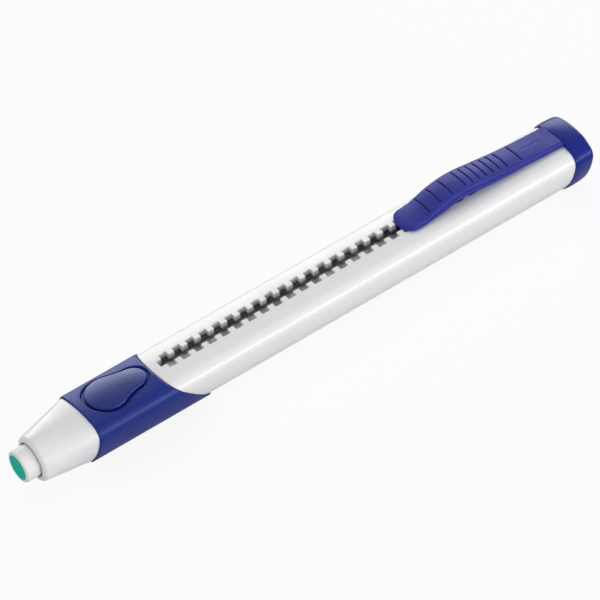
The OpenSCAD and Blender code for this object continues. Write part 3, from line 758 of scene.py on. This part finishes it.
eraser_vinyl = moulded("eraser vinyl", (0.80, 0.80, 0.79), (0.75, 0.75, 0.74), 0.5, 0.62,
                       grain=1800, mottle=300, bump=0.1, scratch=0.1)
core_vinyl = moulded("core vinyl", (0.002, 0.53, 0.40), (0.001, 0.48, 0.36), 0.5, 0.62,
                     grain=1700, mottle=320, bump=0.1, scratch=0.1, specular=0.1)
# The stick's top under the slot gets a streak of painted shade.
stick_painted_shade(eraser_vinyl)
eraser_skin = new_piece("eraser_stick", *skin_mesh(), eraser_vinyl, "refill", "eraser_white")
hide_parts("eraser_skin")
eraser_core = new_piece("eraser_stick_core", *core_mesh(), core_vinyl, "refill", "eraser_teal")
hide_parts("eraser_core")

# ---------------------------------------------------------------------------------------------------------------
# Table. A plain white sheet far wider than the view. The camera and reflections see it nearly white, and it still
# takes the object's shadow. It sends only half of its light back up, so that the object's underside stays shaded.
FLOOR_Z, FLOOR_HALF = cad_box[0][2] - 0.2 * MM, 3.0         # in metres
FLOOR_TONE, FLOOR_BOUNCE = 0.95, 0.5    # how pale the sheet is to the camera, and to all other light
FLOOR_SEEN, FLOOR_MIRRORED = 0.9, 0.25  # the share of plain white in it, to the camera and in reflections
SKY_LIGHT = 0.5


def backdrop_white(tree, under, seen, mirrored):
    """Mixes the shader under with plain white light of strength 1: by the share seen for camera rays, and by the
    share mirrored for glossy and transmission rays. The shares are added up over the rays and stop at 1."""
    path = add_node(tree, "ShaderNodeLightPath")
    share = 0
    for ray, part in (("Is Camera Ray", seen), ("Is Glossy Ray", mirrored), ("Is Transmission Ray", mirrored)):
        share = add_node(tree, "ShaderNodeMath", {0: path[ray], 1: part, 2: share}, operation="MULTIPLY_ADD",
                         use_clamp=True)[0]
    white = add_node(tree, "ShaderNodeEmission")[0]
    return add_node(tree, "ShaderNodeMixShader", {"Fac": share, 1: under, 2: white})[0]


floor_mesh = bpy.data.meshes.new("table")
corners = np.array([(-1, -1), (1, -1), (1, 1), (-1, 1)]) * FLOOR_HALF
floor_mesh.from_pydata([(x, y, FLOOR_Z) for x, y in corners.tolist()], [], [(0, 1, 2, 3)])
floor = bpy.data.objects.new("table", floor_mesh)
bpy.context.scene.collection.objects.link(floor)
floor_paper = bpy.data.materials.new("white table")
floor_paper.use_nodes = True
tree = floor_paper.node_tree
tree.nodes.remove(tree.nodes["Principled BSDF"])
tone = ramp(tree, add_node(tree, "ShaderNodeLightPath")["Is Camera Ray"], 0, 1, FLOOR_BOUNCE, FLOOR_TONE)
matt = add_node(tree, "ShaderNodeBsdfDiffuse", {"Color": tone})[0]
surface = backdrop_white(tree, matt, FLOOR_SEEN, FLOOR_MIRRORED)
tree.links.new(surface, tree.nodes["Material Output"].inputs["Surface"])
floor_mesh.materials.append(floor_paper)

world = bpy.data.worlds.new("studio")
bpy.context.scene.world = world
world.use_nodes = True
sky = world.node_tree
background = sky.nodes["Background"]
background.inputs["Color"].default_value = (1, 1, 1, 1)
background.inputs["Strength"].default_value = SKY_LIGHT
sky.links.new(backdrop_white(sky, background.outputs[0], 1, 1), sky.nodes["World Output"].inputs["Surface"])

# ---------------------------------------------------------------------------------------------------------------
# Light. A big soft box hangs above the object, and a long low one with a thin strip lights its near side and draws
# a soft line along the near corner. Two weaker boxes lift the shade at the back and at the eraser's end, and a pale
# card behind the object is there for the reflections alone.
MIDDLE = np.array([0.07, 0.0, 0.0])     # the object's middle, in metres


def soft_box(name, towards, distance, width, height, power, diffuse=True, glossy=True):
    """An area light at a distance from the object's middle in a direction, turned to face it. Its axes are the
    direction, the level line across it, and their cross product. Sizes are in metres."""
    out = np.array(towards, float) / np.linalg.norm(towards)
    level = np.cross((0, 0, 1), out)
    level /= np.linalg.norm(level)
    light = bpy.data.lights.new(name, "AREA")
    light.shape = "RECTANGLE"
    light.size, light.size_y, light.energy = width, height, power
    lamp = bpy.data.objects.new(name, light)
    lamp.visible_diffuse, lamp.visible_glossy = diffuse, glossy
    axes = np.column_stack([level, np.cross(out, level), out, MIDDLE + out * distance])
    lamp.matrix_world = Matrix(np.vstack([axes, (0, 0, 0, 1)]).tolist())
    bpy.context.scene.collection.objects.link(lamp)


soft_box("soft box above", (0.25, 0.25, 0.93), 0.9, 0.8, 0.8, 2.15, glossy=False)
soft_box("near box", (0.38, -0.92, 0.06), 0.8, 0.9, 0.13, 4.9)
soft_box("near strip", (0.37, -0.93, 0.035), 0.6, 0.9, 0.05, 1.2, diffuse=False)
soft_box("back fill", (0.2, 0.97, 0.03), 0.8, 0.9, 0.13, 2.6, glossy=False)
soft_box("end fill", (-0.97, -0.2, 0.12), 0.8, 0.4, 0.4, 1.3, glossy=False)
soft_box("far card", (0.46, 0.80, 0.36), 0.8, 0.9, 0.36, 5.6, diffuse=False)

# ---------------------------------------------------------------------------------------------------------------
# Camera. A long lens looks down on the object from its near side, turned a little so that the object rises to the
# right across the square picture.
CAMERA_PLACE = np.array([-346.693, -730.176, 752.567])
HEADING, DIP, ROLL = np.radians([60.3887, 41.8104, -9.0985])
ahead = np.array([np.cos(DIP) * np.cos(HEADING), np.cos(DIP) * np.sin(HEADING), -np.sin(DIP)])
level = np.array([np.sin(HEADING), -np.cos(HEADING), 0])
lift = np.cross(level, ahead)
right = np.cos(ROLL) * level + np.sin(ROLL) * lift
above = np.cos(ROLL) * lift - np.sin(ROLL) * level
lens = bpy.data.cameras.new("camera")
lens.sensor_width = 36
lens.lens = 340.19
lens.clip_start, lens.clip_end = 0.05, 20
camera = bpy.data.objects.new("camera", lens)
axes = np.column_stack([right, above, -ahead, CAMERA_PLACE * MM])
camera.matrix_world = Matrix(np.vstack([axes, (0, 0, 0, 1)]).tolist())
bpy.context.scene.collection.objects.link(camera)
bpy.context.scene.camera = camera
bpy.context.scene.view_settings.view_transform = "Standard"
